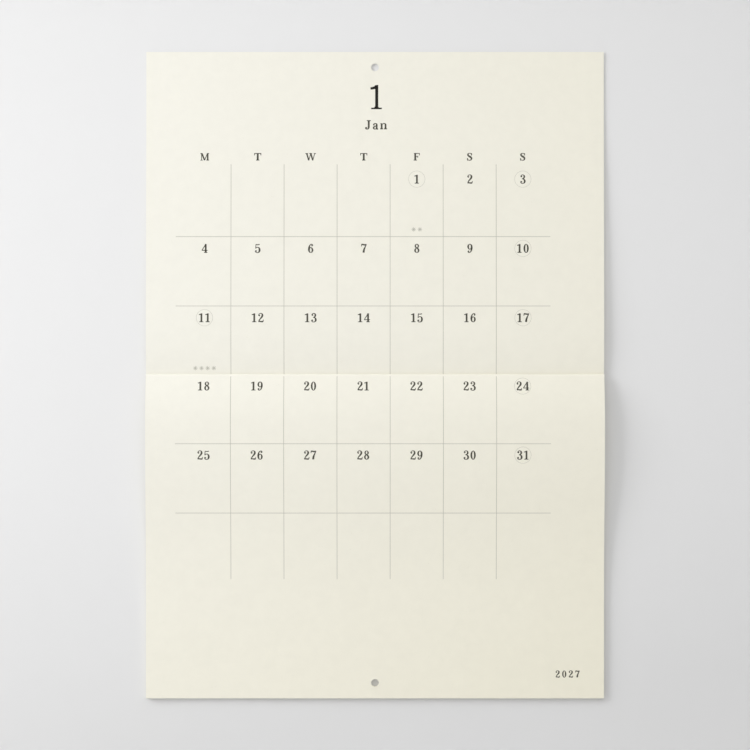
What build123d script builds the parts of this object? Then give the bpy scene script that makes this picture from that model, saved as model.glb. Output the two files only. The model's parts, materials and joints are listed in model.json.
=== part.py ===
from build123d import *
from math import cos, degrees, radians, sin
import os

# A paper wall calendar: folded sheets, stapled through the fold and hung open at the first month.
# The upper leaf is the front half of the outer sheet. Every other leaf hangs below the fold as one
# booklet, which springs away from the wall and then comes back to lie flat on it.
#
# Frame: +Z is up, +X is to the reader's right, and the reader looks along +Y. The wall is Y = 0.
# The origin is on the hang hole's axis, at the upper leaf's back.

# ---- the paper ----
sheet_width = 297.0
leaf_height = 210.0         # from fold to free edge, along the paper
leaf_thickness = 0.15
inner_sheets = 6            # folded sheets inside the outer one, two leaves each
leaf_gap = 0.05             # air between the outer sheet and the page block
hole_radius = 2.5
hole_inset = 10.0           # from a free edge to its hole's centre

# ---- how the upper leaf hangs: flat, lifting off the wall, straight, rolling over into the fold ----
hung_flat = 25.0            # held flat by the nail
lift_radius = 1667.0
lift_lean = radians(1.375)
roll_radius = 231.0
roll_length = 31.0
cut_height = 1.2            # from the upper leaf's cut end to the fold, along the paper
cut_gap = 0.3               # slit between the upper leaf and the rest of its sheet

# ---- how the booklet hangs: bulging out, falling back, footing onto the wall, flat ----
bulge_radius = 127.5
bulge_lean = radians(15.5)
fall_radius = 439.0
fall_lean = radians(6.0)

# ---- the staples ----
wire_diameter = 0.5
crown_length = 13.0
clinch_length = 4.5
inside_bend = 0.1           # radius inside the wire's bends
staple_spacing = 148.0
crown_clearance = 0.02      # between a crown and the outer sheet
pocket_clearance = 0.05     # between the wire and the paper round it

# ---- worked out from those ----
block_thickness = 2 * inner_sheets * leaf_thickness
half_block = block_thickness / 2
cover_inside = half_block + leaf_gap
cover_outside = cover_inside + leaf_thickness
wire_radius = wire_diameter / 2

lift_length = lift_radius * lift_lean
ramp_length = leaf_height - cut_height - hung_flat - lift_length - roll_length
roll_turn = roll_length / roll_radius
fold_lean = lift_lean - roll_turn


def down(lean):
    """Direction, in (Y, Z), of paper that runs down and leans towards the reader by lean radians."""
    return Vector(-sin(lean), -cos(lean))


def outward(lean):
    """Direction towards the reader, in (Y, Z), at right angles to down(lean)."""
    return Vector(-cos(lean), sin(lean))


def upper_face(offset):
    """Draw the upper leaf's face that is offset in front of its back, and return its two ends."""
    flat = Line((-offset, hole_inset), (-offset, hole_inset - hung_flat))
    lift = JernArc(flat @ 1, flat % 1, lift_radius - offset, -degrees(lift_lean))
    ramp = Line(lift @ 1, (lift @ 1) + ramp_length * down(lift_lean))
    roll = JernArc(ramp @ 1, ramp % 1, roll_radius + offset, degrees(roll_turn))
    return flat @ 0, roll @ 1


# ---- upper leaf: the front half of the outer sheet, opened and hung by its hole ----
with BuildPart() as front_cover:
    with BuildSketch(Plane.YZ):
        with BuildLine():
            top_back, fold_back = upper_face(0)
            top_front, fold_front = upper_face(leaf_thickness)
            Line(top_back, top_front)
            Line(fold_back, fold_front)
        make_face()
    extrude(amount=sheet_width / 2, both=True)
    with Locations(Plane(origin=(0, 0, 0), z_dir=(0, -1, 0))):
        Hole(hole_radius)
front_cover.part.label = "front_cover"

# The page block's round spine is centred here, and the booklet turns about it.
fold_centre = fold_back + cut_height * down(fold_lean) + cover_outside * outward(fold_lean)
fold_height = -fold_centre.X

crest_height = fold_height + bulge_radius * (1 - cos(bulge_lean))
fallen_height = crest_height - fall_radius * (1 - cos(fall_lean))
foot_radius = (fallen_height - cover_outside) / (1 - cos(fall_lean))
curved_length = bulge_radius * bulge_lean + (fall_radius + foot_radius) * fall_lean
flat_length = leaf_height - curved_length


def booklet_face(offset):
    """Draw the booklet's face that is offset in front of its middle, and return its two ends."""
    start = fold_centre + offset * outward(bulge_lean)
    bulge = JernArc(start, down(bulge_lean), bulge_radius + offset, degrees(bulge_lean))
    fall = JernArc(bulge @ 1, bulge % 1, fall_radius + offset, degrees(fall_lean))
    foot = JernArc(fall @ 1, fall % 1, foot_radius - offset, -degrees(fall_lean))
    flat = Line(foot @ 1, (foot @ 1) + flat_length * down(0))
    return start, flat @ 1


def folded_face(depth):
    """Draw the outer sheet's face, depth behind the booklet's middle, from its cut end downwards."""
    bend = fold_centre - depth * outward(fold_lean)
    tail = Line(bend - (cut_height - cut_gap) * down(fold_lean), bend)
    JernArc(bend, down(fold_lean), depth, -degrees(bulge_lean - fold_lean))
    return tail @ 0, booklet_face(-depth)[1]


def bend_staple(centre_x, clearance=0.0, mode=Mode.ADD):
    """Sweep a clinched staple's wire, made fatter and longer by clearance, in the part being built."""
    fold_y = fold_centre.X
    crown_y = fold_y + cover_outside + crown_clearance + wire_radius
    leg_x = crown_length / 2
    clinch_x = leg_x - clinch_length - clearance
    points = [(-clinch_x, fold_y), (-leg_x, fold_y), (-leg_x, crown_y)]
    points += [(-x, y) for x, y in reversed(points)]
    with BuildLine(Plane(origin=(centre_x, 0, fold_centre.Y))) as wire:
        FilletPolyline(*points, radius=wire_radius + inside_bend)
    with BuildSketch(Plane(origin=wire.line @ 0, z_dir=wire.line % 0)) as section:
        Circle(wire_radius + clearance)
    sweep(section.sketch, path=wire.line, mode=mode)


staples = {"staple_left": -staple_spacing / 2, "staple_right": staple_spacing / 2}

# ---- page block: the inner folded sheets, all hanging below the fold ----
with BuildPart() as page_block:
    with BuildSketch(Plane.YZ):
        with BuildLine():
            spine_front, foot_front = booklet_face(half_block)
            spine_back, foot_back = booklet_face(-half_block)
            ThreePointArc(spine_front, fold_centre - half_block * down(bulge_lean), spine_back)
            Line(foot_front, foot_back)
        make_face()
    extrude(amount=sheet_width / 2, both=True)
    lower_hole_z = foot_front.Y + hole_inset
    with Locations(Plane(origin=(0, 0, lower_hole_z), z_dir=(0, -1, 0))):
        Hole(hole_radius)
    for staple_x in staples.values():
        bend_staple(staple_x, pocket_clearance, Mode.SUBTRACT)
page_block.part.label = "page_block"

# ---- lower leaf of the outer sheet: wraps the block's spine and lies against the wall ----
with BuildPart() as back_cover:
    with BuildSketch(Plane.YZ):
        with BuildLine():
            cut_inside, edge_inside = folded_face(cover_inside)
            cut_outside, edge_outside = folded_face(cover_outside)
            Line(cut_inside, cut_outside)
            Line(edge_inside, edge_outside)
        make_face()
    extrude(amount=sheet_width / 2, both=True)
    with Locations(Plane(origin=(0, 0, lower_hole_z), z_dir=(0, -1, 0))):
        Hole(hole_radius)
    for staple_x in staples.values():
        bend_staple(staple_x, pocket_clearance, Mode.SUBTRACT)
back_cover.part.label = "back_cover"

os.makedirs("parts", exist_ok=True)
for piece in (front_cover, page_block, back_cover):
    export_step(piece.part, f"parts/{piece.part.label}.step")

# ---- staples: crown behind the spine, legs through the fold, ends clinched inside the block ----
for name, staple_x in staples.items():
    with BuildPart() as staple:
        bend_staple(staple_x)
    staple.part.label = name
    export_step(staple.part, f"parts/{name}.step")

print(f"fold centre y {fold_centre.X:.4f} z {fold_centre.Y:.4f}, crest {crest_height + half_block:.3f}")
print(f"foot radius {foot_radius:.1f}, flat length {flat_length:.2f}, lower hole z {lower_hole_z:.3f}")
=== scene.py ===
import json
import math

import bpy
import numpy as np
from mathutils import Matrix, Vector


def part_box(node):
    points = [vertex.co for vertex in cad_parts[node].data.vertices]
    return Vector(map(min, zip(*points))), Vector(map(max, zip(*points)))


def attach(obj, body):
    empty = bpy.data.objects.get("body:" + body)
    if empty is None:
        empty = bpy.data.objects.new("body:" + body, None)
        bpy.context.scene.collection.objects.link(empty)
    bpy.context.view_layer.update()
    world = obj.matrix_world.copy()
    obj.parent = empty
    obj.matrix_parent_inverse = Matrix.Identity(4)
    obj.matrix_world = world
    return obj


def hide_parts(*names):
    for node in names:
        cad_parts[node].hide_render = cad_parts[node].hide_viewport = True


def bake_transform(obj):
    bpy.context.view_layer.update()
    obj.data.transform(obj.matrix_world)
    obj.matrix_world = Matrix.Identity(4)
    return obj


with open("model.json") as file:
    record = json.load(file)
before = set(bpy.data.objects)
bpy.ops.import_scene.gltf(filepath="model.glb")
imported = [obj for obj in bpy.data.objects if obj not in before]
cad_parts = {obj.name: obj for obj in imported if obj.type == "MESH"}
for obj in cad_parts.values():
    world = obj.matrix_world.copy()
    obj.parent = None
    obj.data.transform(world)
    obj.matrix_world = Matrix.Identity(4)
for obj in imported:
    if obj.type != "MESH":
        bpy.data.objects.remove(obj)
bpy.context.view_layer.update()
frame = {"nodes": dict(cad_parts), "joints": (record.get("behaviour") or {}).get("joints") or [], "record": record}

# A stapled paper wall calendar, open at its first month. All sheets are built at their real thickness
# from their run: the line that hanging paper follows down the wall, in millimetres, Y and Z.
# A point on the calendar is given as X across, and S down the opened sheet from its top edge.

MM = 0.001

# ---- sizes that the frame gives ----
MOUNTS = {mount["name"]: mount for mount in frame["record"]["mounts"]}
SHEET_WIDTH = (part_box("front_cover")[1].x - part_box("front_cover")[0].x) / MM
TOP_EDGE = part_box("front_cover")[1].z / MM
FOOT_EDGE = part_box("page_block")[0].z / MM
HOLE_RADIUS = MOUNTS["hang_hole"]["dims"]["r_mm"]
HOLE_INSET = TOP_EDGE - MOUNTS["hang_hole"]["pos_m"][2] / MM
FOLD_CENTRE = np.array(frame["joints"][0]["pos_m"][1:]) / MM

# ---- the paper ----
LEAF_HEIGHT = 210.0
LEAF_THICKNESS = 0.15
INNER_SHEETS = 6
LEAF_GAP = 0.05
HALF_BLOCK = INNER_SHEETS * LEAF_THICKNESS
COVER_OUTSIDE = HALF_BLOCK + LEAF_GAP + LEAF_THICKNESS
PRESSED = 0.92              # a leaf's share of its place in the stack; the rest is air
SPREAD = 0.10               # how far a stack opens at its free edge, as a share of its thickness
COCKLE = 0.09               # half the height of its slow waves
FLAT_BY_FOLD = 15.0         # the length over which the fold keeps the paper free of waves
BEND_MARGIN = 0.45          # flat paper on each side of the wrap that helps it bend

# ---- how it hangs: lengths in millimetres, leans towards the reader in radians ----
HUNG_FLAT = 25.0
LIFT_RADIUS = 1667.0
LIFT_LEAN = math.radians(1.375)
ROLL_RADIUS = 231.0
ROLL_LENGTH = 31.0
BULGE_RADIUS = 127.5
BULGE_LEAN = math.radians(15.5)
FALL_RADIUS = 439.0
FALL_LEAN = math.radians(6.0)
FOLD_LEAN = LIFT_LEAN - ROLL_LENGTH / ROLL_RADIUS
STRAIGHT_END = 1.2          # straight paper next to the fold
RUN_STEP = 0.05             # the short steps that the run is summed from
SETTLE = 0.5                # how far the booklet's foot goes back past the nail's plane, to the wall
CREST = -FOLD_CENTRE[0] + BULGE_RADIUS * (1 - math.cos(BULGE_LEAN))
FALLEN = CREST - FALL_RADIUS * (1 - math.cos(FALL_LEAN))
FOOT_RADIUS = (FALLEN - COVER_OUTSIDE) / (1 - math.cos(FALL_LEAN))


# ---------------------------------------------------------------- small tools

def linear(hex_colour):
    """Linear RGBA of an sRGB hex colour."""
    srgb = np.array([int(hex_colour[i:i + 2], 16) for i in (1, 3, 5)]) / 255
    channels = np.where(srgb <= 0.04045, srgb / 12.92, ((srgb + 0.055) / 1.055) ** 2.4)
    return (*channels.tolist(), 1.0)


def add_node(tree, kind, settings=None, values=None, links=None):
    """Add a node, with its own settings, the values of its input sockets, and what is wired into them."""
    node = tree.nodes.new(kind)
    for name, value in (settings or {}).items():
        setattr(node, name, value)
    for name, value in (values or {}).items():
        node.inputs[name].default_value = value
    for name, source in (links or {}).items():
        tree.links.new(source, node.inputs[name])
    return node


def set_ramp(node, stops):
    """Give a colour ramp these (position, grey level) stops."""
    elements = node.color_ramp.elements
    while len(elements) < len(stops):
        elements.new(0.5)
    for element, (position, level) in zip(elements, stops):
        element.position = position
        element.color = (level, level, level, 1.0)


def new_material(name, shade):
    """Make a material whose surface is what shade(tree) returns."""
    material = bpy.data.materials.new(name)
    material.use_nodes = True
    tree = material.node_tree
    tree.nodes.clear()
    surface = shade(tree)
    add_node(tree, "ShaderNodeOutputMaterial", links={"Surface": surface})
    return material


# ---------------------------------------------------------------- materials
# Each pattern's scale is one over a real size, in millimetres.

CLOUD_SIZE = 7
FIBRE_SIZE = 1.6
FIBRE_SCATTER = 3.4
TOOTH_SIZE = 0.35
TOOTH_DEPTH = 0.012
INK_TOOTH_SIZE = 0.3
ZINC_SIZE = 0.4
ZINC_DEPTH = 0.01


def uncoated_paper(tint, painted_shade_tint, fibre_tint):
    """Uncoated cream printing paper, machine made: matt, faintly cloudy where its fibres bunch, with a
    fine tooth and a few stray fibres. It carries painted shade: its tint turns darker and warmer towards
    its lower right, where the light falls off. Fibres are drawn a little coarser than the real 0.03 mm, to show."""

    def shade(tree):
        place = add_node(tree, "ShaderNodeTexCoord").outputs["Object"]
        axes = add_node(tree, "ShaderNodeSeparateXYZ", links={"Vector": place})
        across = add_node(
            tree, "ShaderNodeMapRange", values={1: -0.15, 2: 0.15, 3: 0.0, 4: 0.5},
            links={0: axes.outputs["X"]},
        )
        down = add_node(
            tree, "ShaderNodeMapRange", values={1: -0.18, 2: -0.41, 3: 0.0, 4: 0.5},
            links={0: axes.outputs["Z"]},
        )
        # painted shade: the tint is mixed towards a darker, warmer one towards the lower right, where the light
        # falls off
        painted_shade = add_node(
            tree, "ShaderNodeMath", {"operation": "ADD"}, links={0: across.outputs[0], 1: down.outputs[0]},
        )
        toned = add_node(
            tree, "ShaderNodeMix", {"data_type": "RGBA"},
            {6: linear(tint), 7: linear(painted_shade_tint)}, {0: painted_shade.outputs["Value"]},
        )
        cloud = add_node(
            tree, "ShaderNodeTexNoise",
            values={"Scale": 1 / (CLOUD_SIZE * MM), "Detail": 4.0, "Roughness": 0.6},
            links={"Vector": place},
        )
        fibre_field = add_node(
            tree, "ShaderNodeTexNoise",
            values={"Scale": 1 / (FIBRE_SIZE * MM), "Detail": 0.0, "Distortion": 1.2},
            links={"Vector": place},
        )
        fibre_line = add_node(tree, "ShaderNodeValToRGB", links={"Fac": fibre_field.outputs["Fac"]})
        set_ramp(fibre_line, [(0.0, 0.0), (0.497, 0.0), (0.5, 1.0), (0.503, 0.0)])
        scatter = add_node(
            tree, "ShaderNodeTexNoise",
            values={"Scale": 1 / (FIBRE_SCATTER * MM), "Detail": 1.0}, links={"Vector": place},
        )
        scattered = add_node(tree, "ShaderNodeValToRGB", links={"Fac": scatter.outputs["Fac"]})
        set_ramp(scattered, [(0.60, 0.0), (0.66, 0.55)])
        fibres = add_node(
            tree, "ShaderNodeMath", {"operation": "MULTIPLY"},
            links={0: fibre_line.outputs["Color"], 1: scattered.outputs["Color"]},
        )
        cloudiness = add_node(
            tree, "ShaderNodeMapRange", values={1: 0.2, 2: 0.8, 3: 1.0, 4: 0.965},
            links={0: cloud.outputs["Fac"]},
        )
        cloudy = add_node(
            tree, "ShaderNodeVectorMath", {"operation": "SCALE"},
            links={0: toned.outputs[2], "Scale": cloudiness.outputs[0]},
        )
        flecked = add_node(
            tree, "ShaderNodeMix", {"data_type": "RGBA"}, {7: linear(fibre_tint)},
            {0: fibres.outputs["Value"], 6: cloudy.outputs["Vector"]},
        )
        tooth = add_node(
            tree, "ShaderNodeTexNoise",
            values={"Scale": 1 / (TOOTH_SIZE * MM), "Detail": 3.0, "Roughness": 0.65},
            links={"Vector": place},
        )
        bump = add_node(
            tree, "ShaderNodeBump", values={"Strength": 0.5, "Distance": TOOTH_DEPTH * MM},
            links={"Height": tooth.outputs["Fac"]},
        )
        return add_node(
            tree, "ShaderNodeBsdfPrincipled",
            values={"Roughness": 0.9, "IOR": 1.45, "Specular IOR Level": 0.25},
            links={"Base Color": flecked.outputs[2], "Normal": bump.outputs["Normal"]},
        ).outputs["BSDF"]

    return shade


def offset_ink(tint, worn_tint):
    """Offset ink on uncoated stock: matt, sunk into the paper, a shade uneven where the tooth shows."""

    def shade(tree):
        place = add_node(tree, "ShaderNodeTexCoord").outputs["Object"]
        tooth = add_node(
            tree, "ShaderNodeTexNoise",
            values={"Scale": 1 / (INK_TOOTH_SIZE * MM), "Detail": 2.0}, links={"Vector": place},
        )
        broken = add_node(tree, "ShaderNodeValToRGB", links={"Fac": tooth.outputs["Fac"]})
        set_ramp(broken, [(0.45, 0.0), (0.75, 1.0)])
        colour = add_node(
            tree, "ShaderNodeMix", {"data_type": "RGBA"},
            {6: linear(tint), 7: linear(worn_tint)}, {0: broken.outputs["Color"]},
        )
        return add_node(
            tree, "ShaderNodeBsdfPrincipled",
            values={"Roughness": 0.75, "IOR": 1.5, "Specular IOR Level": 0.3},
            links={"Base Color": colour.outputs[2]},
        ).outputs["BSDF"]

    return shade


def galvanised_wire(tree):
    """Zinc-coated steel staple wire, drawn: bright grey, with fine dull streaks and blotches."""
    place = add_node(tree, "ShaderNodeTexCoord").outputs["Object"]
    blotches = add_node(
        tree, "ShaderNodeTexNoise",
        values={"Scale": 1 / (ZINC_SIZE * MM), "Detail": 3.0, "Distortion": 0.6}, links={"Vector": place},
    )
    colour = add_node(
        tree, "ShaderNodeMix", {"data_type": "RGBA"},
        {6: linear("#C9CBCC"), 7: linear("#9A9C9E")}, {0: blotches.outputs["Fac"]},
    )
    dullness = add_node(
        tree, "ShaderNodeMapRange", values={3: 0.28, 4: 0.5}, links={0: blotches.outputs["Fac"]},
    )
    bump = add_node(
        tree, "ShaderNodeBump", values={"Strength": 0.3, "Distance": ZINC_DEPTH * MM},
        links={"Height": blotches.outputs["Fac"]},
    )
    return add_node(
        tree, "ShaderNodeBsdfPrincipled", values={"Metallic": 1.0},
        links={
            "Base Color": colour.outputs[2],
            "Roughness": dullness.outputs[0],
            "Normal": bump.outputs["Normal"],
        },
    ).outputs["BSDF"]


# the second tint is the paper's painted shade, used towards its lower right
CREAM_TINTS = ("#EFEDE3", "#ECE8D6", "#CCC6B2")
COVER_PAPER = new_material("cream_cover_paper", uncoated_paper(*CREAM_TINTS))
PAGE_PAPER = new_material("cream_page_paper", uncoated_paper(*CREAM_TINTS))
BLACK_INK = new_material("black_offset_ink", offset_ink("#12110D", "#24221B"))
TEXT_INK = new_material("dark_grey_offset_ink", offset_ink("#47453B", "#58554A"))
LINE_INK = new_material("pale_grey_offset_ink", offset_ink("#B9B7AB", "#C4C2B6"))
RING_INK = new_material("mid_grey_offset_ink", offset_ink("#B7B5A9", "#C0BEB2"))
STAPLE_WIRE = new_material("galvanised_staple_wire", galvanised_wire)


# ---------------------------------------------------------------- the run of the paper

def paper_run(start, stretches):
    """The line hanging paper follows. Its lean changes evenly along each (length, lean at the end) stretch,
    after a first lean, so every stretch is straight or an arc. Position is the running sum of short steps
    of (-sin lean, -cos lean). Returns a function of length down the line giving Y, Z and lean."""
    first_lean, *rest = stretches
    knots = np.cumsum([0.0] + [length for length, _ in rest])
    leans = np.array([first_lean] + [lean for _, lean in rest])
    fine = np.unique(np.concatenate([np.arange(0, knots[-1], RUN_STEP), knots]))
    lean = np.interp(fine, knots, leans)
    middle = (lean[1:] + lean[:-1]) / 2
    steps = np.diff(fine)
    y = start[0] - np.concatenate([[0.0], np.cumsum(np.sin(middle) * steps)])
    z = start[1] - np.concatenate([[0.0], np.cumsum(np.cos(middle) * steps)])

    def at(length):
        return np.interp(length, fine, y), np.interp(length, fine, z), np.interp(length, knots, leans)

    return at


def bow(offset):
    """The booklet's stretches below the fold, for a face that is offset in front of its middle."""
    bulge = (BULGE_RADIUS + offset) * BULGE_LEAN
    fall = (FALL_RADIUS + offset) * FALL_LEAN
    foot = (FOOT_RADIUS - offset) * FALL_LEAN
    flat = LEAF_HEIGHT - (BULGE_RADIUS * BULGE_LEAN + (FALL_RADIUS + FOOT_RADIUS) * FALL_LEAN)
    return [(bulge, 0.0), (fall, -FALL_LEAN), (foot, 0.0), (flat, 0.0)]


LIFT_LENGTH = LIFT_RADIUS * LIFT_LEAN
RAMP_LENGTH = LEAF_HEIGHT - HUNG_FLAT - LIFT_LENGTH - ROLL_LENGTH
UPPER_STRETCHES = [(HUNG_FLAT, 0.0), (LIFT_LENGTH, LIFT_LEAN), (RAMP_LENGTH - STRAIGHT_END, LIFT_LEAN)]
UPPER_STRETCHES += [(ROLL_LENGTH, FOLD_LEAN), (STRAIGHT_END, FOLD_LEAN)]
WRAP = COVER_OUTSIDE * (BULGE_LEAN - FOLD_LEAN)

# the outer sheet's wall side from its top edge, round the spine, to its foot; and the booklet's middle
OUTER_RUN = paper_run((0.0, TOP_EDGE), [0.0, *UPPER_STRETCHES, (WRAP, BULGE_LEAN), *bow(-COVER_OUTSIDE)])
BLOCK_RUN = paper_run(FOLD_CENTRE, [BULGE_LEAN, *bow(0.0)])


def cockle(x, s):
    """How far damp and handling lift the paper, in millimetres: the product of two slow crossing sine
    waves, always outwards, which fades to nothing at the fold as 1 - exp(-distance squared). Below the
    fold the booklet also settles towards the wall, by the square of the way down."""
    waves = np.sin(x / 31 + s / 57 + 0.6) * np.sin(x / 83 - s / 39 + 1.1)
    faded = 1 - np.exp(-((s - LEAF_HEIGHT) / FLAT_BY_FOLD) ** 2)
    settled = SETTLE * (np.maximum(s - LEAF_HEIGHT, 0) / LEAF_HEIGHT) ** 2
    return COCKLE * (1 + waves) * faded - settled


def outward(lean):
    """Direction towards the reader, in (Y, Z), at right angles to paper with this lean."""
    return np.stack([-np.cos(lean), np.sin(lean)], -1)


def outer_surface(x, s):
    """Wall side of the outer sheet at (X, S), the run lifted by the cockle, and the direction towards
    its other side."""
    y, z, lean = OUTER_RUN(s)
    direction = outward(lean)
    lift = cockle(x, np.minimum(s, 2 * LEAF_HEIGHT))
    return np.stack([y, z], -1) + lift[:, None] * direction, direction


def loosened(order, down):
    """How far the leaf at this order from the wall has sprung off the stack, down mm below the fold:
    the free edges of a stack stand a little apart, each leaf by its share."""
    opening = SPREAD * np.clip(down / LEAF_HEIGHT, 0, 1) ** 2
    return (order + 0.5) * LEAF_THICKNESS * opening


def folded_surface(sheet):
    """Middle of one inner sheet, numbered from the outside of the stack: up the back leaf, over the
    spine as a half circle, and down the front leaf. u is the length from the top of the spine, positive
    on the front. The point is on the stack's middle line, and the direction points out of the fold."""
    radius = HALF_BLOCK - (sheet + 0.5) * LEAF_THICKNESS
    quarter = radius * math.pi / 2

    def surface(x, u):
        down = np.maximum(np.abs(u) - quarter, 0)
        y, z, lean = BLOCK_RUN(down)
        turn = np.clip(u / radius, -math.pi / 2, math.pi / 2)
        front = outward(lean)
        up = np.stack([np.sin(lean), np.cos(lean)], -1)
        direction = np.sin(turn)[:, None] * front + np.cos(turn)[:, None] * up
        order = np.where(u > 0, 2 * INNER_SHEETS - 1 - sheet, sheet)
        lift = cockle(x, LEAF_HEIGHT + down) + loosened(order, down)
        return np.stack([y, z], -1) + lift[:, None] * front + radius * direction, direction

    return surface, quarter


# ---------------------------------------------------------------- meshes

SHARP_ANGLE = math.radians(40)      # faces that meet at more than this keep a sharp edge


def make_object(name, vertices, faces, material):
    """Put vertices, given in millimetres, and quads into a new object with its origin at zero."""
    mesh = bpy.data.meshes.new(name)
    mesh.from_pydata((vertices * MM).tolist(), [], faces.tolist())
    mesh.polygons.foreach_set("use_smooth", np.ones(len(faces), bool))
    mesh.set_sharp_from_angle(angle=SHARP_ANGLE)
    mesh.materials.append(material)
    mesh.update()
    piece = bpy.data.objects.new(name, mesh)
    bpy.context.scene.collection.objects.link(piece)
    return piece


def open_edges(faces):
    """The directed edges that only one quad uses."""
    edges = np.concatenate([np.stack([faces[:, i], faces[:, (i + 1) % 4]], 1) for i in range(4)])
    _, where, count = np.unique(np.sort(edges, 1), axis=0, return_inverse=True, return_counts=True)
    return edges[count[where.ravel()] == 1]


def laid_slab(name, flat, faces, surface, near, far, material):
    """A closed sheet: the flat layout of (across, along) points laid on a surface twice, near and far
    from it along its direction, and joined by walls along every open edge."""
    points, direction = surface(flat[:, 0], flat[:, 1])
    sides = [np.column_stack([flat[:, 0], points + depth * direction]) for depth in (far, near)]
    count = len(flat)
    a, b = open_edges(faces).T
    walls = np.stack([b, a, a + count, b + count], 1)
    every = np.concatenate([faces, faces[:, ::-1] + count, walls])
    return make_object(name, np.concatenate(sides), every, material)


def ruled_lines(marks, step):
    """Grid positions that pass through every mark, evenly spaced between them, at most step apart."""
    stretches = [
        np.linspace(low, high, max(1, math.ceil((high - low) / step)), endpoint=False)
        for low, high in zip(marks[:-1], marks[1:])
    ]
    return np.concatenate([*stretches, [marks[-1]]])


PATCH = 5.0                 # half the side of the square of paper that is rebuilt round a punched hole
RING_SHARES = (0.3, 0.55, 0.75, 0.9, 1.0)       # how far each ring is from that square to the hole
GRID_SLACK = 1e-6
SHEET_STEP = 7.0            # coarsest grid across a sheet
LEAF_STEP = 3.0             # and down a leaf
PATCH_STEP = 0.9            # round a hole
NEAR_FOLD_STEP = 0.25       # close to the spine
WRAP_STEP = 0.03            # and where the sheet wraps it
NEAR_ABOVE = 2.0            # how far that close stretch of the outer sheet reaches above the fold
NEAR_BELOW = 4.0            # and below it
SPINE_MARGIN = 1.0          # flat paper of an inner sheet on each side of its spine, in one row
HALF_WIDTH = SHEET_WIDTH / 2


def punched_layout(across, along, holes):
    """Flat quads over a grid of lines, with round holes. Round each hole the grid's own square is left
    out and filled with rings that change evenly from the square's outline to the hole's circle."""
    columns, rows = len(across), len(along)
    grid_x, grid_s = np.meshgrid(across, along, indexing="ij")
    points = [np.stack([grid_x.ravel(), grid_s.ravel()], 1)]
    index = np.arange(columns * rows).reshape(columns, rows)
    cells = np.stack([index[:-1, :-1], index[:-1, 1:], index[1:, 1:], index[1:, :-1]], -1)
    keep = np.ones(cells.shape[:2], bool)
    quads = []
    used = columns * rows
    for hole_x, hole_s in holes:
        i = np.searchsorted(across, [hole_x - PATCH - GRID_SLACK, hole_x + PATCH - GRID_SLACK])
        j = np.searchsorted(along, [hole_s - PATCH - GRID_SLACK, hole_s + PATCH - GRID_SLACK])
        keep[i[0]:i[1], j[0]:j[1]] = False
        rim = np.concatenate([
            index[i[0], j[0]:j[1]], index[i[0]:i[1], j[1]],
            index[i[1], j[1]:j[0]:-1], index[i[1]:i[0]:-1, j[0]],
        ])
        arms = points[0][rim] - (hole_x, hole_s)
        circle = HOLE_RADIUS * arms / np.linalg.norm(arms, axis=1)[:, None]
        rings = [rim]
        for share in RING_SHARES:
            points.append((hole_x, hole_s) + arms + share * (circle - arms))
            rings.append(np.arange(used, used + len(rim)))
            used += len(rim)
        for outer, inner in zip(rings[:-1], rings[1:]):
            quads.append(np.stack([outer, np.roll(outer, -1), np.roll(inner, -1), inner], 1))
    return np.concatenate(points), np.concatenate([cells[keep], *quads])


ACROSS = np.unique(np.concatenate([
    ruled_lines([-HALF_WIDTH, -PATCH], SHEET_STEP), ruled_lines([-PATCH, PATCH], PATCH_STEP),
    ruled_lines([PATCH, HALF_WIDTH], SHEET_STEP),
]))


def along_leaf(hole, low, high):
    """Rows of a leaf from low to high, with fine ones through the square round its hole."""
    return np.unique(np.round(np.concatenate([
        ruled_lines([low, hole - PATCH], LEAF_STEP),
        ruled_lines([hole - PATCH, hole + PATCH], PATCH_STEP),
        ruled_lines([hole + PATCH, high], LEAF_STEP),
    ]), 6))


def make_outer_sheet():
    """The one sheet that is both covers: it hangs by its hole, wraps the spine and lies on the wall."""
    fold = LEAF_HEIGHT
    foot = fold + WRAP + sum(length for length, _ in bow(-COVER_OUTSIDE))
    lower_hole = foot - HOLE_INSET
    rows = np.unique(np.concatenate([
        along_leaf(HOLE_INSET, 0.0, fold - NEAR_ABOVE),
        ruled_lines([fold - NEAR_ABOVE, fold - BEND_MARGIN], NEAR_FOLD_STEP),
        ruled_lines([fold - BEND_MARGIN, fold + WRAP + BEND_MARGIN], WRAP_STEP),
        ruled_lines([fold + WRAP + BEND_MARGIN, fold + NEAR_BELOW], NEAR_FOLD_STEP),
        along_leaf(lower_hole, fold + NEAR_BELOW, foot),
    ]))
    flat, faces = punched_layout(ACROSS, rows, [(0.0, HOLE_INSET), (0.0, lower_hole)])
    piece = laid_slab("outer_sheet", flat, faces, outer_surface, 0.0, LEAF_THICKNESS, COVER_PAPER)
    before, after = (OUTER_RUN(s)[:2] for s in (fold - BEND_MARGIN, fold + WRAP + BEND_MARGIN))
    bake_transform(piece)
    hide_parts("front_cover", "back_cover")


FRONT_UNEVEN = 0.18         # how far a front leaf's foot strays from the trim
FRONT_CREEP = 0.12          # and how much shorter the innermost one is cut
BACK_UNEVEN = 0.15          # how far a back leaf's foot strays


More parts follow.
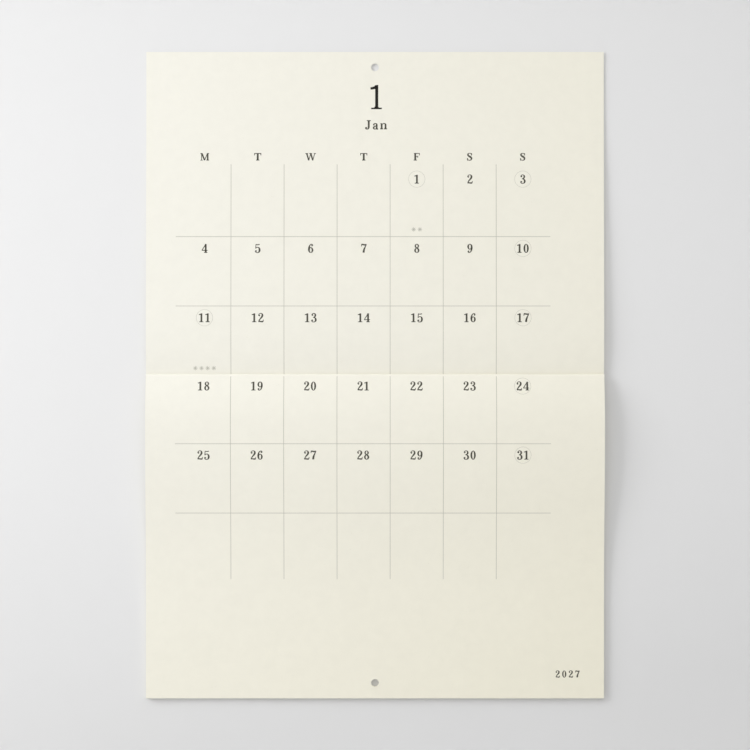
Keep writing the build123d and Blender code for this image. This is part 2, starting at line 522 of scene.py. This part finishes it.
def make_inner_sheet(sheet):
    """One folded sheet of the page block. Its two free edges stray from the trim by a sine and a cosine
    of the sheet's number. The first page, which is in view, keeps to it."""
    surface, quarter = folded_surface(sheet)
    uneven = FRONT_UNEVEN * math.sin(2.4 * sheet)
    front_edge = quarter + LEAF_HEIGHT - FRONT_CREEP * sheet / INNER_SHEETS + (0.0 if sheet == 0 else uneven)
    back_edge = quarter + LEAF_HEIGHT - BACK_UNEVEN + BACK_UNEVEN * math.cos(1.7 * sheet)
    front_hole = quarter + LEAF_HEIGHT - HOLE_INSET
    front = along_leaf(front_hole, quarter + SPINE_MARGIN, front_edge)
    back = -along_leaf(front_hole, quarter + SPINE_MARGIN, back_edge)
    spine_marks = [-quarter - SPINE_MARGIN, -quarter, quarter, quarter + SPINE_MARGIN]
    spine = ruled_lines(spine_marks, max(0.02, quarter / 8))
    rows = np.unique(np.concatenate([back, spine, front]))
    flat, faces = punched_layout(ACROSS, rows, [(0.0, front_hole), (0.0, -front_hole)])
    half = PRESSED * LEAF_THICKNESS / 2
    piece = laid_slab(f"inner_sheet_{sheet + 1}", flat, faces, surface, -half, half, PAGE_PAPER)
    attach(piece, "booklet")
    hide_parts("page_block")


# ---------------------------------------------------------------- print: shapes of ink
# A shape is (points, quads) on a plane, X right and Y up. A figure's height is 1 and its foot is at 0.

RING_SIDES = 48
DISC_LINES = 7              # grid lines each way in a disc
SERIF_POINTS = 33
SHOULDER = 0.07             # radius of the bracket between a serif and its stem
BALL = 0.09                 # radius of the ball that ends a curved stroke


def facing(points, quads):
    """The shape with every quad counter-clockwise."""
    a, b, c, d = (points[quads[:, i]] for i in range(4))
    area = np.cross(c - a, d - b)
    return points, np.where(area[:, None] < 0, quads[:, ::-1], quads)


def strip(one_side, other_side, closed=False):
    """Quads between two lines of equally many points."""
    count = len(one_side)
    i = np.arange(count if closed else count - 1)
    j = (i + 1) % count
    return facing(np.concatenate([one_side, other_side]), np.stack([i, j, j + count, i + count], 1))


def stroke(points, widths, samples=12):
    """A pen stroke: a chain of cubic Bezier curves, three new points a curve, whose width eases from
    one of the widths to the next along each curve."""
    points = np.array(points, float)
    curves = (len(points) - 1) // 3
    t = np.linspace(0, 1, samples + 1)
    basis = np.stack([(1 - t) ** 3, 3 * t * (1 - t) ** 2, 3 * t * t * (1 - t), t ** 3], 1)
    ease = t * t * (3 - 2 * t)
    line = [basis[min(k, 1):] @ points[3 * k:3 * k + 4] for k in range(curves)]
    width = [(widths[k] + (widths[k + 1] - widths[k]) * ease)[min(k, 1):] for k in range(curves)]
    line, width = np.concatenate(line), np.concatenate(width)
    along = np.gradient(line, axis=0)
    along /= np.linalg.norm(along, axis=1)[:, None]
    side = np.stack([-along[:, 1], along[:, 0]], 1) * width[:, None] / 2
    return strip(line + side, line - side)


def bar(start, end, width, end_width=None):
    """A straight stroke, which may taper."""
    start, end = np.array(start, float), np.array(end, float)
    inner = [start + (end - start) * share for share in (0, 1 / 3, 2 / 3, 1)]
    return stroke(inner, [width, width if end_width is None else end_width], 8)


def ring(centre, radii, side, top):
    """An upright oval ring, side thick at its sides and top thick at its top and foot."""
    angle = np.linspace(0, 2 * math.pi, RING_SIDES, endpoint=False)
    unit = np.stack([np.cos(angle), np.sin(angle)], 1)
    return strip(centre + unit * radii, centre + unit * (np.array(radii) - (side, top)), closed=True)


def dot(centre, radius):
    """A full disc: a square grid pushed to the circle, x sqrt(1 - y^2 / 2) by y sqrt(1 - x^2 / 2)."""
    lines = np.linspace(-1, 1, DISC_LINES)
    x, y = (a.ravel() for a in np.meshgrid(lines, lines, indexing="ij"))
    disc = np.stack([x * np.sqrt(1 - y * y / 2), y * np.sqrt(1 - x * x / 2)], 1)
    index = np.arange(DISC_LINES ** 2).reshape(DISC_LINES, DISC_LINES)
    cells = np.stack([index[:-1, :-1], index[1:, :-1], index[1:, 1:], index[:-1, 1:]], -1)
    return facing(np.array(centre) + radius * disc, cells.reshape(-1, 4))


def serif(centre, level, width, grows, stem, thickness):
    """A slab serif with bracketed shoulders: its inner edge rises to the stem along quarter circles.
    grows is 1 at a foot, where the stem is above, and -1 at a head."""
    x = np.linspace(-width / 2, width / 2, SERIF_POINTS)
    reach = np.clip((np.abs(x) - stem / 2) / SHOULDER, 0, 1)
    inner = thickness + SHOULDER * (1 - np.sqrt(1 - (1 - reach) ** 2))
    outer_line = np.stack([centre + x, np.full(len(x), level)], 1)
    return strip(outer_line, outer_line + np.stack([0 * x, grows * inner], 1))


def turned(shapes, width):
    """The shapes turned half round in a figure of this width."""
    return [((width, 1.0) - points, quads) for points, quads in shapes]


def glyphs(thick, hair):
    """Figures and letters of a slab-serif face with ball ends, for main strokes this thick and thin
    strokes of a hair. Each has its width and its shapes of ink."""
    six = [
        ring((0.29, 0.315), (0.265, 0.325), thick * 0.95, hair),
        stroke(
            [(0.10, 0.32), (0.08, 0.70), (0.22, 0.98), (0.38, 0.97), (0.45, 0.965), (0.50, 0.91),
             (0.48, 0.84)],
            [thick * 0.95, hair * 1.1, hair],
        ),
        dot((0.435, 0.825), BALL),
    ]
    return {
        "0": (0.58, [ring((0.29, 0.50), (0.27, 0.51), thick, hair)]),
        "1": (0.53, [
            bar((0.275, 0.03), (0.275, 0.985), thick),
            stroke([(0.02, 0.85), (0.10, 0.855), (0.19, 0.875), (0.27, 0.92)], [0.095, 0.125]),
            bar((0.20, 0.965), (0.275 + thick / 2, 0.985), 0.03),
            serif(0.265, 0.0, 0.44, 1, thick, hair),
        ]),
        "2": (0.58, [
            dot((0.135, 0.755), BALL),
            stroke(
                [(0.07, 0.76), (0.08, 0.93), (0.19, 0.985), (0.29, 0.985),
                 (0.42, 0.985), (0.47, 0.88), (0.455, 0.74), (0.44, 0.54), (0.19, 0.42), (0.075, 0.07)],
                [hair, hair * 1.1, thick * 1.05, hair * 1.3],
            ),
            stroke([(0.05, 0.06), (0.20, 0.13), (0.34, 0.02), (0.52, 0.085)], [hair * 1.6, thick * 0.9]),
            stroke([(0.505, 0.05), (0.54, 0.10), (0.55, 0.20), (0.55, 0.29)], [0.08, hair * 0.8]),
        ]),
        "3": (0.58, [
            dot((0.145, 0.80), BALL),
            stroke(
                [(0.08, 0.81), (0.09, 0.93), (0.19, 0.985), (0.28, 0.985),
                 (0.39, 0.985), (0.445, 0.89), (0.44, 0.77), (0.43, 0.62), (0.33, 0.545), (0.20, 0.54)],
                [hair, hair * 1.1, thick * 0.95, hair],
            ),
            stroke(
                [(0.20, 0.54), (0.38, 0.535), (0.48, 0.43), (0.485, 0.28), (0.49, 0.12), (0.40, 0.015),
                 (0.26, 0.015), (0.14, 0.015), (0.07, 0.08), (0.055, 0.19)],
                [hair, thick * 1.05, hair * 1.1, hair],
            ),
            dot((0.12, 0.20), 0.095),
        ]),
        "4": (0.60, [
            bar((0.43, 0.99), (0.035, 0.30), hair * 1.1),
            bar((0.01, 0.275), (0.60, 0.275), hair * 1.15),
            bar((0.415, 0.03), (0.415, 0.99), thick),
            serif(0.415, 0.0, 0.36, 1, thick, hair),
        ]),
        "5": (0.58, [
            stroke([(0.10, 0.955), (0.22, 0.89), (0.36, 0.89), (0.485, 0.955)], [0.09, 0.11], 10),
            bar((0.115, 0.96), (0.09, 0.48), hair),
            stroke(
                [(0.09, 0.49), (0.15, 0.60), (0.22, 0.625), (0.29, 0.625), (0.41, 0.625), (0.485, 0.50),
                 (0.485, 0.32), (0.485, 0.13), (0.39, 0.015), (0.26, 0.015), (0.13, 0.015), (0.06, 0.09),
                 (0.05, 0.19)],
                [hair, hair * 1.1, thick * 1.05, hair * 1.1, hair],
            ),
            dot((0.115, 0.20), 0.095),
        ]),
        "6": (0.58, six),
        "7": (0.56, [
            stroke([(0.06, 0.93), (0.20, 0.98), (0.34, 0.84), (0.53, 0.93)], [thick * 0.9, thick * 0.9]),
            bar((0.055, 1.0), (0.045, 0.72), hair * 0.9),
            bar((0.525, 0.86), (0.535, 1.0), hair * 0.9),
            stroke([(0.52, 0.89), (0.44, 0.66), (0.27, 0.44), (0.265, 0.02)], [hair * 1.2, thick * 1.15]),
        ]),
        "8": (0.58, [
            ring((0.29, 0.765), (0.225, 0.245), thick * 0.8, hair),
            ring((0.29, 0.275), (0.265, 0.285), thick * 0.95, hair),
            stroke([(0.16, 0.70), (0.20, 0.58), (0.36, 0.54), (0.44, 0.36)], [thick * 0.6, thick * 0.7]),
        ]),
        "9": (0.58, turned(six, 0.58)),
        "M": (1.00, [
            bar((0.15, 0.03), (0.15, 0.97), hair * 1.1), bar((0.83, 0.03), (0.83, 0.97), thick * 0.95),
            bar((0.17, 0.98), (0.49, 0.03), thick * 0.95), bar((0.49, 0.03), (0.80, 0.97), hair * 1.1),
            serif(0.15, 0.0, 0.28, 1, hair, hair), serif(0.83, 0.0, 0.32, 1, thick, hair),
            serif(0.13, 1.0, 0.22, -1, 0.1, hair), serif(0.86, 1.0, 0.24, -1, 0.1, hair),
        ]),
        "T": (0.78, [
            bar((0.39, 0.03), (0.39, 0.98), thick * 1.15), bar((0.03, 0.955), (0.75, 0.955), hair * 1.3),
            bar((0.05, 1.0), (0.04, 0.70), hair * 1.3, hair),
            bar((0.73, 1.0), (0.74, 0.70), hair * 1.3, hair),
            serif(0.39, 0.0, 0.38, 1, thick * 1.15, hair * 1.2),
        ]),
        "W": (1.18, [
            bar((0.14, 0.97), (0.38, 0.02), thick * 0.9), bar((0.38, 0.03), (0.59, 0.97), hair),
            bar((0.59, 0.97), (0.82, 0.02), thick * 0.9), bar((0.82, 0.03), (1.03, 0.97), hair),
            serif(0.14, 1.0, 0.30, -1, thick, hair), serif(0.59, 1.0, 0.30, -1, thick, hair),
            serif(1.05, 1.0, 0.25, -1, hair, hair),
        ]),
        "F": (0.70, [
            bar((0.18, 0.03), (0.18, 0.97), thick * 1.1), bar((0.05, 0.96), (0.65, 0.96), hair * 1.2),
            bar((0.64, 1.0), (0.65, 0.70), hair * 1.2, hair), bar((0.18, 0.52), (0.46, 0.52), hair * 1.2),
            bar((0.46, 0.65), (0.46, 0.39), hair), serif(0.18, 0.0, 0.36, 1, thick * 1.1, hair * 1.2),
            serif(0.18, 1.0, 0.30, -1, thick, hair),
        ]),
        "S": (0.62, [
            stroke(
                [(0.50, 0.76), (0.50, 0.92), (0.40, 0.98), (0.29, 0.98), (0.17, 0.98), (0.10, 0.90),
                 (0.11, 0.77), (0.12, 0.60), (0.30, 0.57), (0.36, 0.49), (0.36, 0.49), (0.51, 0.40),
                 (0.50, 0.25), (0.49, 0.09), (0.38, 0.02), (0.28, 0.02), (0.17, 0.02), (0.08, 0.10),
                 (0.07, 0.26)],
                [hair, hair * 1.2, thick, thick * 1.35, thick, hair * 1.2, hair], 8,
            ),
            bar((0.50, 1.0), (0.51, 0.69), hair * 1.3), bar((0.065, 0.0), (0.06, 0.33), hair * 1.3),
        ]),
        "J": (0.60, [
            bar((0.37, 0.25), (0.37, 0.97), thick), serif(0.37, 1.0, 0.38, -1, thick, hair),
            stroke(
                [(0.37, 0.28), (0.37, 0.10), (0.30, 0.015), (0.19, 0.02), (0.10, 0.02), (0.05, 0.08),
                 (0.06, 0.16)],
                [thick, hair * 1.2, hair],
            ),
            dot((0.12, 0.17), BALL),
        ]),
        "a": (0.60, [
            dot((0.15, 0.49), 0.08),
            stroke(
                [(0.10, 0.48), (0.11, 0.60), (0.20, 0.645), (0.27, 0.645), (0.37, 0.645), (0.41, 0.58),
                 (0.41, 0.46)],
                [hair, hair * 1.2, thick * 0.95],
            ),
            stroke(
                [(0.41, 0.47), (0.41, 0.30), (0.39, 0.10), (0.44, 0.05), (0.47, 0.02), (0.52, 0.02),
                 (0.55, 0.06)],
                [thick * 0.95, thick * 0.9, hair],
            ),
            stroke(
                [(0.41, 0.37), (0.20, 0.35), (0.12, 0.28), (0.12, 0.17), (0.12, 0.06), (0.17, 0.015),
                 (0.23, 0.02), (0.31, 0.02), (0.38, 0.07), (0.40, 0.13)],
                [hair, thick * 0.9, hair * 1.1, hair],
            ),
        ]),
        "n": (0.72, [
            bar((0.17, 0.02), (0.17, 0.62), thick * 0.92), bar((0.04, 0.615), (0.20, 0.63), hair),
            stroke(
                [(0.19, 0.46), (0.24, 0.60), (0.33, 0.645), (0.40, 0.645), (0.50, 0.645), (0.54, 0.58),
                 (0.54, 0.44), (0.54, 0.30), (0.54, 0.15), (0.54, 0.02)],
                [hair, hair * 1.3, thick * 0.92, thick * 0.92],
            ),
            serif(0.17, 0.0, 0.30, 1, thick, hair), serif(0.54, 0.0, 0.30, 1, thick, hair),
        ]),
    }


DISPLAY_FACE = glyphs(0.125, 0.06)
TEXT_FACE = glyphs(0.18, 0.078)
INK_FOOT = 0.004            # the ink film's inner side above the paper
INK_LIFT = 0.025            # and its outer side; a real film is 0.002 and would flicker


def words(text, centre_x, foot_s, height, tracking, stretch=1.1, face=TEXT_FACE):
    """The shapes of a word on the sheet: centred on X, standing at S, stretched sideways, with tracking
    between glyphs."""
    widths = [height * stretch * face[letter][0] for letter in text]
    shapes = []
    x = centre_x - (sum(widths) + tracking * (len(text) - 1)) / 2
    for letter, width in zip(text, widths):
        for points, quads in face[letter][1]:
            shapes.append((points * (height * stretch, -height) + (x, foot_s), quads))
        x += width + tracking
    return shapes


RULE_STEP = 4.0             # a ruled line's lengths, short enough to follow the paper
RULE_STEP_ON_BOW = 1.5      # where the paper bends more, and in small marks


def rule(start, end, width, step=RULE_STEP):
    """A ruled line between two points of the sheet, made of equal lengths of at most step."""
    start, end = np.array(start, float), np.array(end, float)
    count = max(2, math.ceil(np.linalg.norm(end - start) / step))
    line = start + (end - start) * np.linspace(0, 1, count + 1)[:, None]
    along = (end - start) / np.linalg.norm(end - start)
    side = np.array([-along[1], along[0]]) * width / 2
    points, quads = strip(line + side, line - side)
    return points, quads[:, ::-1]


def printed(name, shapes, surface, face, material, body):
    """Join shapes of ink into one thin closed film on a surface, whose printed side is face mm from it.
    Shapes run down the sheet, so their quads already turn their front to the reader."""
    counts = np.cumsum([0] + [len(points) for points, _ in shapes])
    flat = np.concatenate([points for points, _ in shapes])
    faces = np.concatenate([quads + start for (_, quads), start in zip(shapes, counts)])
    piece = laid_slab(name, flat, faces, surface, face + INK_FOOT, face + INK_LIFT, material)
    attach(piece, body)


def page_surface(x, s):
    """Middle of the first page below the fold, by S down the opened sheet."""
    surface, quarter = folded_surface(0)
    return surface(x, s - LEAF_HEIGHT + quarter)


def on_upper(name, shapes, material):
    """Print on the turned-up leaf."""
    printed(name, shapes, outer_surface, LEAF_THICKNESS, material, "turned_leaf")


def on_page(name, shapes, material):
    """Print on the first page below the fold."""
    printed(name, shapes, page_surface, PRESSED * LEAF_THICKNESS / 2, material, "booklet")


# ---------------------------------------------------------------- print: the layout, X and S in mm

COLUMN_PITCH = 34.4
ROW_PITCH = 45.0
GRID_CENTRE = -7.4          # the grid stands a little left of the sheet's middle
GRID_TOP = 75.0
RULE_TOP = 73.0             # the upright rules start a little above the first row
GRID_LEFT = -129.2
GRID_RIGHT = 113.7
GRID_FOOT = 342.7
RULE_WIDTH = 0.36
RULE_BREAK = 0.6            # the upper leaf's upright rules stop this short of the fold
RULE_RISE = 0.52            # the page is printed in its own pass, a little high against the leaf above it
FIGURE_RISE = {3: 0.40, 4: 0.82}                    # its figures, by row, stand high too
FIGURE_SHIFT = {on_upper: 0.12, on_page: -0.25}     # and each leaf's are a little off the column
FIGURE_HEIGHT = 5.75
FIGURE_TRACKING = 0.78
FIGURE_FOOT = 10.5          # from the top of a row to the foot of its figures
RING_RADIUS = 5.4
RING_WIDTH = 0.17
FIRST_COLUMN = 4            # the first of the month is a Friday
LAST_DATE = 31
REST_DAYS = (1, 3, 10, 11, 17, 24, 31)      # these are ringed
RULED_ROWS = (1, 2, 4, 5)   # the fold takes the place of the third line across
MARKS = {1: 2, 11: 4}       # small asterisks under these dates: how many each
MARK_PITCH = 4.0
MARK_DROP = 29.8            # from the foot of a figure
MARK_RADIUS = 1.45
MARK_WIDTH = 0.32
MARK_ANGLES = np.radians((0, 45, 90, 135))


def column_x(column):
    """X at the middle of a column, numbered from 0."""
    return GRID_CENTRE + (column - 3) * COLUMN_PITCH


def dates():
    """Every date with its leaf and place: the column's centre, and S at the foot of its figures."""
    for date in range(1, LAST_DATE + 1):
        row, column = divmod(date - 1 + FIRST_COLUMN, 7)
        foot = GRID_TOP + row * ROW_PITCH + FIGURE_FOOT - FIGURE_RISE.get(row, 0.0)
        leaf = on_upper if foot < LEAF_HEIGHT else on_page
        yield date, leaf, column_x(column) + FIGURE_SHIFT[leaf], foot


def make_print():
    """Header, weekdays, dates, rings, marks, ruled grid and year, each on the leaf it is printed on."""
    month_figure = words(
        "1", centre_x=0.95, foot_s=37.1, height=15.8, tracking=0.0, stretch=1.0, face=DISPLAY_FACE,
    )
    on_upper("month_figure_print", month_figure, BLACK_INK)
    month_name = words("Jan", centre_x=0.75, foot_s=50.2, height=5.9, tracking=0.8, stretch=1.15)
    on_upper("month_name_print", month_name, TEXT_INK)
    weekdays = []
    for column, initial in enumerate("MTWTFSS"):
        weekdays += words(
            initial, column_x(column) + 0.1, foot_s=70.5, height=4.8, tracking=0.0, stretch=1.22,
        )
    on_upper("weekday_print", weekdays, TEXT_INK)

    figures = {on_upper: [], on_page: []}
    rings = {on_upper: [], on_page: []}
    marks = []
    for date, leaf, x, foot in dates():
        figures[leaf] += words(str(date), x, foot, FIGURE_HEIGHT, FIGURE_TRACKING)
        if date in REST_DAYS:
            centre = (x, foot - FIGURE_HEIGHT / 2)
            points, quads = ring(centre, (RING_RADIUS, RING_RADIUS), RING_WIDTH, RING_WIDTH)
            rings[leaf].append((points, quads[:, ::-1]))
        for k in range(MARKS.get(date, 0)):
            centre = np.array((x + (k - (MARKS[date] - 1) / 2) * MARK_PITCH, foot + MARK_DROP))
            for angle in MARK_ANGLES:
                arm = MARK_RADIUS * np.array((math.cos(angle), math.sin(angle)))
                marks.append(rule(centre - arm, centre + arm, MARK_WIDTH, RULE_STEP_ON_BOW))
    on_upper("upper_figure_print", figures[on_upper], TEXT_INK)
    on_page("lower_figure_print", figures[on_page], TEXT_INK)
    on_upper("upper_ring_print", rings[on_upper], RING_INK)
    on_page("lower_ring_print", rings[on_page], RING_INK)
    on_upper("holiday_mark_print", marks, RING_INK)

    upper_rules, lower_rules = [], []
    for column in range(6):
        x = column_x(column) + COLUMN_PITCH / 2
        upper_rules.append(rule((x, RULE_TOP), (x, LEAF_HEIGHT - RULE_BREAK), RULE_WIDTH))
        lower_rules.append(
            rule((x, LEAF_HEIGHT - RULE_BREAK), (x, GRID_FOOT), RULE_WIDTH, RULE_STEP_ON_BOW)
        )
    for row in RULED_ROWS:
        s = GRID_TOP + row * ROW_PITCH
        rules = upper_rules
        if s > LEAF_HEIGHT:
            s -= RULE_RISE
            rules = lower_rules
        rules.append(rule((GRID_LEFT, s), (GRID_RIGHT, s), RULE_WIDTH))
    on_upper("upper_rule_print", upper_rules, LINE_INK)
    on_page("lower_rule_print", lower_rules, LINE_INK)
    year = words("2027", centre_x=124.8, foot_s=406.5, height=4.5, tracking=1.35, stretch=1.12)
    on_page("year_print", year, TEXT_INK)


# ---------------------------------------------------------------- the calendar

make_outer_sheet()
for number in range(INNER_SHEETS):
    make_inner_sheet(number)
make_print()
for node in ("staple_left", "staple_right"):
    wire = frame["nodes"][node]
    wire.data.materials.clear()
    wire.data.materials.append(STAPLE_WIRE)


# ---------------------------------------------------------------- stage, light and camera

def studio_wall(tree):
    """Pale matt studio wall with painted shade: a little darker to the right, down, and away from the
    calendar's middle height, where the light falls off. Seen from behind it is clear, so that it doesn't hide what
    hangs on it."""
    place = add_node(tree, "ShaderNodeTexCoord").outputs["Object"]
    axes = add_node(tree, "ShaderNodeSeparateXYZ", links={"Vector": place})
    across = add_node(
        tree, "ShaderNodeMapRange", values={1: -0.25, 2: 0.25, 3: 0.0, 4: 0.28},
        links={0: axes.outputs["X"]},
    )
    down = add_node(
        tree, "ShaderNodeMapRange", values={1: 0.05, 2: -0.45, 3: 0.0, 4: 0.56},
        links={0: axes.outputs["Z"]},
    )
    height = add_node(
        tree, "ShaderNodeMath", {"operation": "SUBTRACT"}, {1: MIDDLE[2]}, {0: axes.outputs["Z"]},
    )
    squared = add_node(tree, "ShaderNodeMath", {"operation": "POWER"}, {1: 2.0}, {0: height.outputs[0]})
    away = add_node(
        tree, "ShaderNodeMapRange", values={1: 0.0, 2: 0.06, 3: 0.0, 4: 0.40},
        links={0: squared.outputs[0]},
    )
    slope = add_node(
        tree, "ShaderNodeMath", {"operation": "ADD"}, links={0: across.outputs[0], 1: down.outputs[0]},
    )
    # painted shade: the wall's grey darkens towards the right, the foot and away from the middle height
    shade = add_node(
        tree, "ShaderNodeMath", {"operation": "ADD"}, links={0: slope.outputs[0], 1: away.outputs[0]},
    )
    colour = add_node(
        tree, "ShaderNodeMix", {"data_type": "RGBA"},
        {6: linear("#EAEAEA"), 7: linear("#DADADA")}, {0: shade.outputs[0]},
    )
    matt = add_node(tree, "ShaderNodeBsdfDiffuse", links={"Color": colour.outputs[2]})
    clear = add_node(tree, "ShaderNodeBsdfTransparent")
    behind = add_node(tree, "ShaderNodeNewGeometry").outputs["Backfacing"]
    return add_node(
        tree, "ShaderNodeMixShader", links={0: behind, 1: matt.outputs[0], 2: clear.outputs[0]},
    ).outputs[0]


def studio_floor(tree):
    """Pale matt studio floor."""
    return add_node(tree, "ShaderNodeBsdfDiffuse", values={"Color": linear("#DADADA")}).outputs["BSDF"]


def make_plane(name, corners, material):
    """A stage plane through four corners, in metres."""
    plane = make_object(name, np.array(corners) / MM, np.array([[0, 1, 2, 3]]), material)
    return plane


def soft_light(name, aim, direction, distance, size, power):
    """A soft light, a rectangle of this size, in this direction from its aim and facing it."""
    data = bpy.data.lights.new(name, "AREA")
    data.shape = "RECTANGLE"
    data.size, data.size_y = size
    data.energy = power
    light = bpy.data.objects.new(name, data)
    bpy.context.scene.collection.objects.link(light)
    towards = np.array(direction, float) / np.linalg.norm(direction)
    light.location = np.array(aim) + towards * distance
    light.rotation_mode = "QUATERNION"
    light.rotation_quaternion = Vector(towards).to_track_quat("Z", "Y")
    light.visible_camera = False


MIDDLE = (0.0, 0.0, (TOP_EDGE + FOOT_EDGE) / 2 * MM)
WALL_Y = 0.7 * MM           # the nail's head holds the calendar a little off the wall
FLOOR_Z = -0.75
REACH = 4.0

wall = make_plane(
    "studio_wall",
    [(-REACH, WALL_Y, FLOOR_Z), (REACH, WALL_Y, FLOOR_Z), (REACH, WALL_Y, REACH), (-REACH, WALL_Y, REACH)],
    new_material("matt_studio_wall", studio_wall),
)
wall.visible_shadow = False     # so that the rear light gets past it
make_plane(
    "studio_floor",
    [(-REACH, -REACH, FLOOR_Z), (REACH, -REACH, FLOOR_Z), (REACH, REACH, FLOOR_Z), (-REACH, REACH, FLOOR_Z)],
    new_material("matt_studio_floor", studio_floor),
)

# The key is at the upper left, so that the bow throws its shadow to the right and down. The strip is near
# and weak, so that its light fades towards the calendar's top and foot. The rear light is for its back.
soft_light("key_light", MIDDLE, (-2.2, -1.0, 1.0), 2.4, (1.2, 1.2), 41.8)
soft_light("top_light", MIDDLE, (0.0, -1.0, 1.6), 1.8, (1.2, 1.2), 7.2)
soft_light("strip_fill", (0.0, 0.0, -0.22), (0.0, -1.0, 0.1), 0.8, (1.6, 0.2), 0.85)
soft_light("rear_light", MIDDLE, (0.6, 1.0, 0.8), 2.2, (1.6, 1.6), 18.0)

AIR_STRENGTH = 0.45
world = bpy.data.worlds.new("studio_air")
world.use_nodes = True
bpy.context.scene.world = world
world.node_tree.nodes["Background"].inputs["Color"].default_value = linear("#FFFFFF")
world.node_tree.nodes["Background"].inputs["Strength"].default_value = AIR_STRENGTH
bpy.context.scene.view_settings.view_transform = "Standard"

CAMERA_DISTANCE = 1.53
FRAME_SIDE = 0.487          # the side of the square of wall that the view takes in
camera_data = bpy.data.cameras.new("camera")
camera_data.sensor_width = 36.0
camera_data.lens = camera_data.sensor_width * CAMERA_DISTANCE / FRAME_SIDE
camera = bpy.data.objects.new("camera", camera_data)
camera.location = (0.0, -CAMERA_DISTANCE, MIDDLE[2])
camera.rotation_euler = (math.radians(90), 0, 0)
bpy.context.scene.collection.objects.link(camera)
bpy.context.scene.camera = camera
